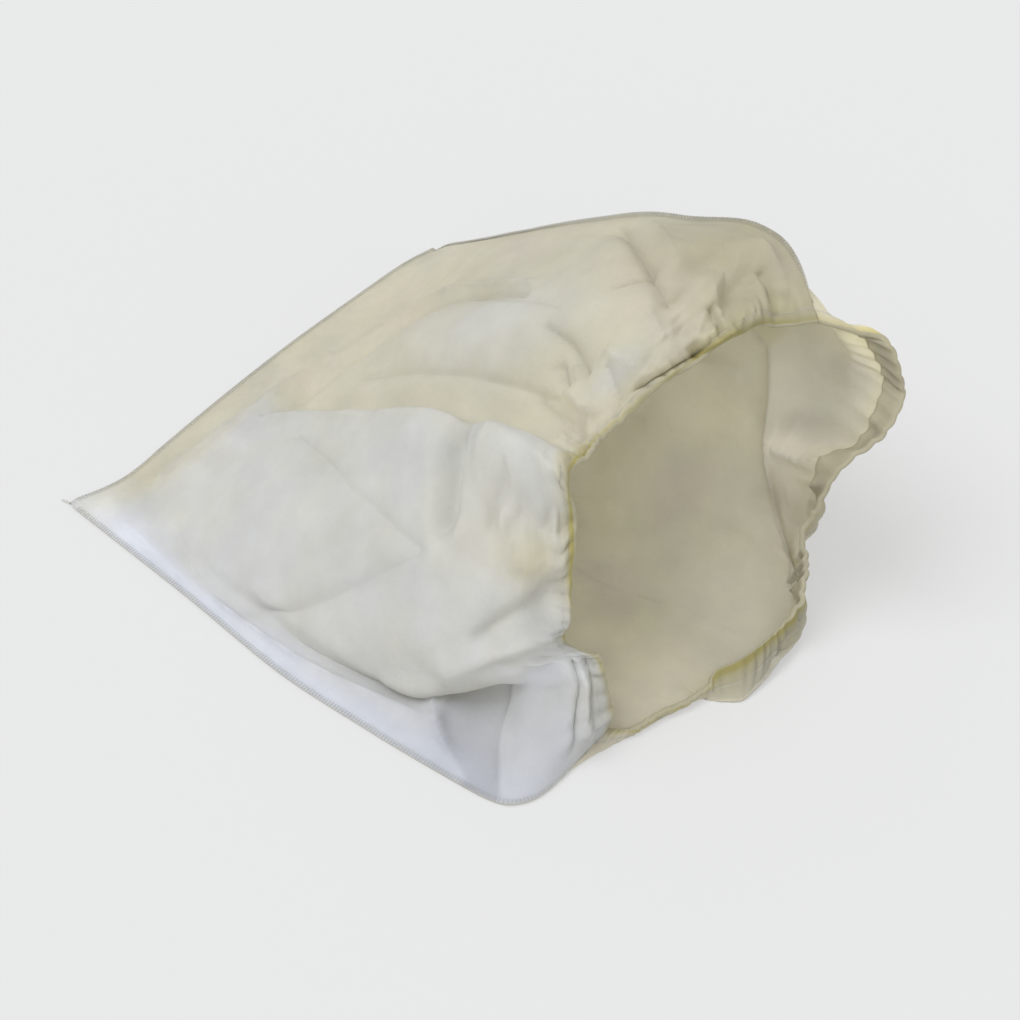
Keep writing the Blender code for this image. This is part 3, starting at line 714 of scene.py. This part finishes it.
def threads(name, splines, radius, ring=False):
    """Round threads along lines of points."""
    curve = bpy.data.curves.new(name, "CURVE")
    curve.dimensions = "3D"
    curve.bevel_depth = radius / 1000
    curve.bevel_resolution = 1
    curve.use_fill_caps = not ring
    for points in splines:
        line = curve.splines.new("POLY")
        line.points.add(len(points) - 1)
        flat = np.hstack([(np.asarray(points) + CORNER) / 1000, np.ones((len(points), 1))])
        line.points.foreach_set("co", flat.ravel())
        line.use_cyclic_u = ring
    return link(name, curve)


# ---- Materials

# Cool white and cream are the ends of the warm field's mix, which paints warm and cool light as well as the
# cloth's tint.
COOL_WHITE = (0.83, 0.84, 0.86, 1)
CREAM = (0.815, 0.79, 0.655, 1)
BLUSH = (0.825, 0.79, 0.725, 1)
STAIN = (0.655, 0.595, 0.265, 1)
THROUGH = (1.0, 0.985, 0.915, 1)  # what the cloth leaves of the light that passes through it
THREAD = (0.72, 0.71, 0.66)
ELASTIC = (0.66, 0.58, 0.34)


def node_material(name):
    """A new material with its tree and its main shader."""
    material = bpy.data.materials.new(name)
    material.use_nodes = True
    tree = material.node_tree
    shader = tree.nodes["Principled BSDF"]
    return material, tree, shader


def add(tree, kind, **settings):
    """A new node; a setting is an input's value where the node has such an input, and else a property."""
    node = tree.nodes.new(kind)
    for key, value in settings.items():
        if key in node.inputs:
            node.inputs[key].default_value = value
        else:
            setattr(node, key, value)
    return node


def mix_colour(tree, factor, first, second, blend="MIX"):
    """Two colours mixed; each argument is a value or another node's output."""
    node = tree.nodes.new("ShaderNodeMix")
    node.data_type = "RGBA"
    node.clamp_factor = False
    node.blend_type = blend
    for socket, value in ((node.inputs[0], factor), (node.inputs[6], first), (node.inputs[7], second)):
        if hasattr(value, "is_output"):
            tree.links.new(value, socket)
        else:
            socket.default_value = value
    return node.outputs[2]


def product(tree, first, second, clamp=False):
    """Two numbers multiplied."""
    node = add(tree, "ShaderNodeMath", operation="MULTIPLY", use_clamp=clamp)
    tree.links.new(first, node.inputs[0])
    tree.links.new(second, node.inputs[1])
    return node.outputs[0]


def remap(tree, value, old, new):
    """A number moved from one range to another."""
    node = add(tree, "ShaderNodeMapRange")
    tree.links.new(value, node.inputs["Value"])
    node.inputs["From Min"].default_value, node.inputs["From Max"].default_value = old
    node.inputs["To Min"].default_value, node.inputs["To Max"].default_value = new
    return node.outputs[0]


def texture(tree, scale, detail, roughness=0.5):
    """Noise in the object's own space."""
    node = add(tree, "ShaderNodeTexNoise", Scale=scale, Detail=detail, Roughness=roughness)
    tree.links.new(add(tree, "ShaderNodeTexCoord").outputs["Object"], node.inputs["Vector"])
    return node.outputs["Fac"]


def bumps(tree, height, strength, distance, below=None):
    """Surface directions that follow a height, on top of other bumps if they are given."""
    node = add(tree, "ShaderNodeBump", Strength=strength, Distance=distance)
    tree.links.new(height, node.inputs["Height"])
    if below is not None:
        tree.links.new(below, node.inputs["Normal"])
    return node.outputs["Normal"]


def felt(name, translucency=0.52):
    """Needle-punched filter felt: short tangled fibres, soft blotches, cream by the elastic, and the light
    and shade painted into its colour fields.
    """
    material, tree, shader = node_material(name)
    links = tree.links

    def field(label):
        return add(tree, "ShaderNodeAttribute", attribute_name=label).outputs["Fac"]

    warm = field("warm")
    blush = remap(tree, texture(tree, 11, 2), (0.4, 0.7), (0.12, 0.8))
    # Cool white to cream by the warm field, which holds painted warm and cool light as well as the cloth's
    # tint.
    colour = mix_colour(tree, warm, COOL_WHITE, CREAM)
    colour = mix_colour(tree, product(tree, blush, warm, clamp=True), colour, BLUSH)
    colour = mix_colour(tree, field("yellow"), colour, STAIN)
    mottle = remap(tree, texture(tree, 38, 4, 0.6), (0.0, 1.0), (0.93, 1.06))
    fibre = remap(tree, texture(tree, 900, 3, 0.7), (0.0, 1.0), (0.93, 1.05))
    # Lightness factor from the vertex field: random lightness with painted light and shade.
    light = product(tree, product(tree, mottle, fibre), field("painted_light_and_tone"))
    grey = add(tree, "ShaderNodeCombineColor")
    for socket in grey.inputs[:3]:
        links.new(light, socket)
    colour = mix_colour(tree, 1.0, colour, grey.outputs[0], "MULTIPLY")
    links.new(colour, shader.inputs["Base Color"])
    shader.inputs["Roughness"].default_value = 0.92
    shader.inputs["Specular IOR Level"].default_value = 0.15
    shader.inputs["Sheen Weight"].default_value = 0.25
    shader.inputs["Sheen Roughness"].default_value = 0.5
    fine = bumps(tree, texture(tree, 1500, 4, 0.7), 0.35, 0.0004)
    broad = bumps(tree, texture(tree, 55, 5, 0.55), 0.5, 0.003, fine)
    links.new(broad, shader.inputs["Normal"])
    through = add(tree, "ShaderNodeBsdfTranslucent")
    links.new(mix_colour(tree, 1.0, colour, THROUGH, "MULTIPLY"), through.inputs["Color"])
    links.new(broad, through.inputs["Normal"])
    mixed = add(tree, "ShaderNodeMixShader")
    mixed.inputs[0].default_value = translucency
    links.new(shader.outputs[0], mixed.inputs[1])
    links.new(through.outputs[0], mixed.inputs[2])
    links.new(mixed.outputs[0], tree.nodes["Material Output"].inputs["Surface"])
    return material


def spun(name, colour, scale=1400):
    """Spun thread or braided elastic: fine twist lines and a little colour variation."""
    material, tree, shader = node_material(name)
    wave = add(tree, "ShaderNodeTexWave", Scale=scale, Distortion=2.0, Detail=2.0)
    tree.links.new(add(tree, "ShaderNodeTexCoord").outputs["Object"], wave.inputs["Vector"])
    dark = tuple(part * 0.8 for part in colour) + (1,)
    varied = mix_colour(tree, texture(tree, 120, 3), dark, (*colour, 1))
    tree.links.new(varied, shader.inputs["Base Color"])
    shader.inputs["Roughness"].default_value = 0.75
    shader.inputs["Sheen Weight"].default_value = 0.3
    tree.links.new(bumps(tree, wave.outputs["Fac"], 0.4, 0.0002), shader.inputs["Normal"])
    return material


thread_white = spun("polyester_thread", THREAD)
elastic_cream = spun("braided_elastic", ELASTIC, 500)

for name, grid, flip in (("upper", upper, False), ("lower", lower, True)):
    piece = cloth_object(name + "_cloth", panel_grid(grid, name), colour_fields(name), flip)
    ride(piece, name + "_panel", felt(name + "_felt"))

# ---- Elastic and stitching

BAND_BACK, BAND_FRONT = (12.5, 1.4), (2.5, 2.3)  # its edges: back from the fold, and under the cloth
BAND_THICK = 0.8
JOIN = 0.765  # place of the elastic's join, across the upper panel


def in_casing(back, depth):
    """Points once round the mouth, a distance back from the hem's fold and a depth under its outer layer."""
    line = np.concatenate([at_back(upper, back)[1:], at_back(lower, back)[::-1][1:]])
    return line - hem_outward * depth


def elastic_band():
    """Flat band half way between the casing's layers, as a closed ring of four-sided sections."""
    back, front = in_casing(*BAND_BACK), in_casing(*BAND_FRONT)
    half = hem_outward * (BAND_THICK / 2)
    points = np.stack([back - half, front - half, front + half, back + half], axis=1).reshape(-1, 3)
    faces = []
    for i in range(len(back)):
        k = (i + 1) % len(back)
        for c in range(4):
            faces.append((4 * i + c, 4 * k + c, 4 * k + (c + 1) % 4, 4 * i + (c + 1) % 4))
    return mesh_object("elastic", (points + CORNER) / 1000, faces)


ride(elastic_band(), "elastic_band", elastic_cream)


def resample(points, step, closed=False):
    """Points at even spacing along a line, and where they fall among the old ones."""
    if closed:
        points = np.vstack([points, points[:1]])
    run = np.concatenate([[0], np.cumsum(np.linalg.norm(np.diff(points, axis=0), axis=1))])
    places = np.arange(0, run[-1] - (step * 0.5 if closed else 0), step)
    where = np.interp(places, run, np.arange(len(points)))
    i = np.clip(where.astype(int), 0, len(points) - 2)
    t = (where - i)[:, None]
    return points[i] * (1 - t) + points[i + 1] * t, where


def hem_stitches():
    """One long line of stitches that dips into the cloth at every third point."""
    points, where = resample(in_casing(CASING, 0.0), 1.1, closed=True)
    i = where.astype(int) % len(hem_outward)
    height = np.where(np.arange(len(points)) % 3 == 0, -0.15, CLOTH / 2 + 0.3)
    return threads("hem_stitches", [points + hem_outward[i] * height[:, None]], 0.32, ring=True)


ride(hem_stitches(), "hem_stitching", thread_white)


# One turn of an overlock loop, as shares of the allowance's width and of its half thickness
LOOP_ACROSS = np.array((0.38, 0.99, 1.03, 0.99, 0.38, 0.99, 1.03, 0.99))
LOOP_HEIGHT = np.array((1.0, 1.0, 0.0, -1.0, -1.0, -1.0, 0.0, 1.0))
LOOP_PITCH = 3.4
OVERLOCK_END = 0.93  # how far along the bag the side seams' overlock runs


def overlock(name, edge, out, up, widths, start, stop):
    """Threads looped over the edge of a seam allowance."""
    points, where = resample(edge, LOOP_PITCH / len(LOOP_ACROSS))
    i = np.clip(where.astype(int), 0, len(edge) - 2)
    t = (where - i)[:, None]
    out = unit(out[i] * (1 - t) + out[i + 1] * t)
    up = unit(up[i] * (1 - t) + up[i + 1] * t)
    widths = widths[i] * (1 - t[:, 0]) + widths[i + 1] * t[:, 0]
    k = np.arange(len(points)) % len(LOOP_ACROSS)
    thick = CLOTH + 0.45
    path = points + out * (widths * LOOP_ACROSS[k])[:, None] + up * (thick * LOOP_HEIGHT[k])[:, None]
    path[:, 2] = np.maximum(path[:, 2], 0.32)
    keep = (where >= start) & (where <= stop)
    return threads(name, [path[keep]], 0.3)


def seams():
    """The three overlocked seams: name, edge, ways out and up, allowance, and first and last place."""
    bottom_allowance = np.full(STEPS_ACROSS + 1, ALLOWANCE)
    last = int(np.searchsorted(ALONG, OVERLOCK_END))
    front_edge, back_edge = (upper[:, 0] + lower[:, 0]) / 2, (upper[:, -1] + lower[:, -1]) / 2
    yield "bottom", (upper[0] + lower[0]) / 2, bottom_out, bottom_up, bottom_allowance, 0, STEPS_ACROSS
    yield "front", front_edge, front_out, front_up, side_allowance, 1, last
    yield "back", back_edge, back_out, back_up, side_allowance, 1, last


for seam, *course in seams():
    ride(overlock("overlock_" + seam, *course), seam + "_seam_overlock", thread_white)


def thread_tail():
    """Chain of overlock thread that runs off the front bottom corner, with its loops drawn together."""
    t = np.linspace(0, 1, 90)
    strands = []
    for turn in (0.0, 2.1, 4.2):
        x = -7.5 - 11.5 * t
        y = -6.5 - 2.5 * t + (1.0 - 0.5 * t) * np.sin(t * 26 + turn)
        z = 1.9 - 0.4 * t + (1.0 - 0.5 * t) * np.cos(t * 26 + turn)
        strands.append(np.stack([x, y, np.maximum(z, 0.5)], axis=1))
    return threads("thread_tail", strands, 0.42)


ride(thread_tail(), "overlock_thread_tail", thread_white)


def join_stitches():
    """Zigzag that sews the elastic's two ends together, inside the casing."""
    line = in_casing(7.5, 2.6)
    points = []
    for k in range(11):
        i = int(STEPS_ACROSS * JOIN) + k // 2
        points.append(line[i] + hem_forward[i] * (3.2 if k % 2 else -3.2))
    return threads("elastic_join", [np.array(points)], 0.25)


ride(join_stitches(), "elastic_join_stitches", thread_white)

# ---- Floor, light and camera

FLOOR_SIZE = 30.0
CAMERA_PLACE = (43, 45, 1.9)  # azimuth, elevation and distance
FIELD_OF_VIEW = 30


def floor():
    """Plain pale floor, as bright as the background all over."""
    size = FLOOR_SIZE
    corners = np.array([(-size, -size, 0), (size, -size, 0), (size, size, 0), (-size, size, 0)])
    thing = mesh_object("floor", corners, [(0, 1, 2, 3)])
    material, _, shader = node_material("pale_floor")
    shader.inputs["Base Color"].default_value = (0.40, 0.40, 0.40, 1)
    shader.inputs["Emission Color"].default_value = (1.0, 1.0, 1.0, 1)
    shader.inputs["Emission Strength"].default_value = 0.36
    shader.inputs["Roughness"].default_value = 1.0
    shader.inputs["Specular IOR Level"].default_value = 0.0
    thing.data.materials.append(material)


def studio():
    """A world that lights the bag evenly from all round, and is a plain pale grey to the camera."""
    world = bpy.data.worlds.new("studio")
    world.use_nodes = True
    tree = world.node_tree
    light = tree.nodes["Background"]
    light.inputs["Color"].default_value = (0.98, 0.99, 1.0, 1)
    light.inputs["Strength"].default_value = 0.665
    behind = add(tree, "ShaderNodeBackground", Color=(0.81, 0.815, 0.82, 1), Strength=1.0)
    either = add(tree, "ShaderNodeMixShader")
    tree.links.new(add(tree, "ShaderNodeLightPath").outputs["Is Camera Ray"], either.inputs[0])
    tree.links.new(light.outputs[0], either.inputs[1])
    tree.links.new(behind.outputs[0], either.inputs[2])
    tree.links.new(either.outputs[0], tree.nodes["World Output"].inputs["Surface"])
    bpy.context.scene.world = world


floor()
studio()
TARGET = np.array((0.1116, 0.0867, 0.100))


def place(thing, azimuth, elevation, distance):
    """Puts a light or camera round the target, looking at it. Azimuth 0 looks along +Y."""
    a, e = math.radians(azimuth), math.radians(elevation)
    back = np.array((math.sin(a) * math.cos(e), -math.cos(a) * math.cos(e), math.sin(e)))
    right = np.array((math.cos(a), math.sin(a), 0.0))
    up = np.cross(back, right)
    spot = TARGET + back * distance
    rows = [[float(part) for part in (right[i], up[i], back[i], spot[i])] for i in range(3)]
    thing.matrix_world = Matrix(rows + [[0, 0, 0, 1]])


def sun(name, azimuth, elevation, spread, strength, colour):
    """A wide, soft light from far away, so that the floor is lit the same all over."""
    light = bpy.data.lights.new(name, "SUN")
    light.angle = math.radians(spread)
    light.energy = strength
    light.color = colour
    place(link(name, light), azimuth, elevation, 3.0)


sun("key", -36, 62, 40, 1.38, (0.98, 0.99, 1.0))
sun("fill", 72, 42, 80, 0.50, (1.0, 0.99, 0.97))

camera_data = bpy.data.cameras.new("camera")
camera_data.sensor_width = 36
camera_data.angle = math.radians(FIELD_OF_VIEW)
camera = link("camera", camera_data)
place(camera, *CAMERA_PLACE)
bpy.context.scene.camera = camera
bpy.context.scene.view_settings.view_transform = "Standard"
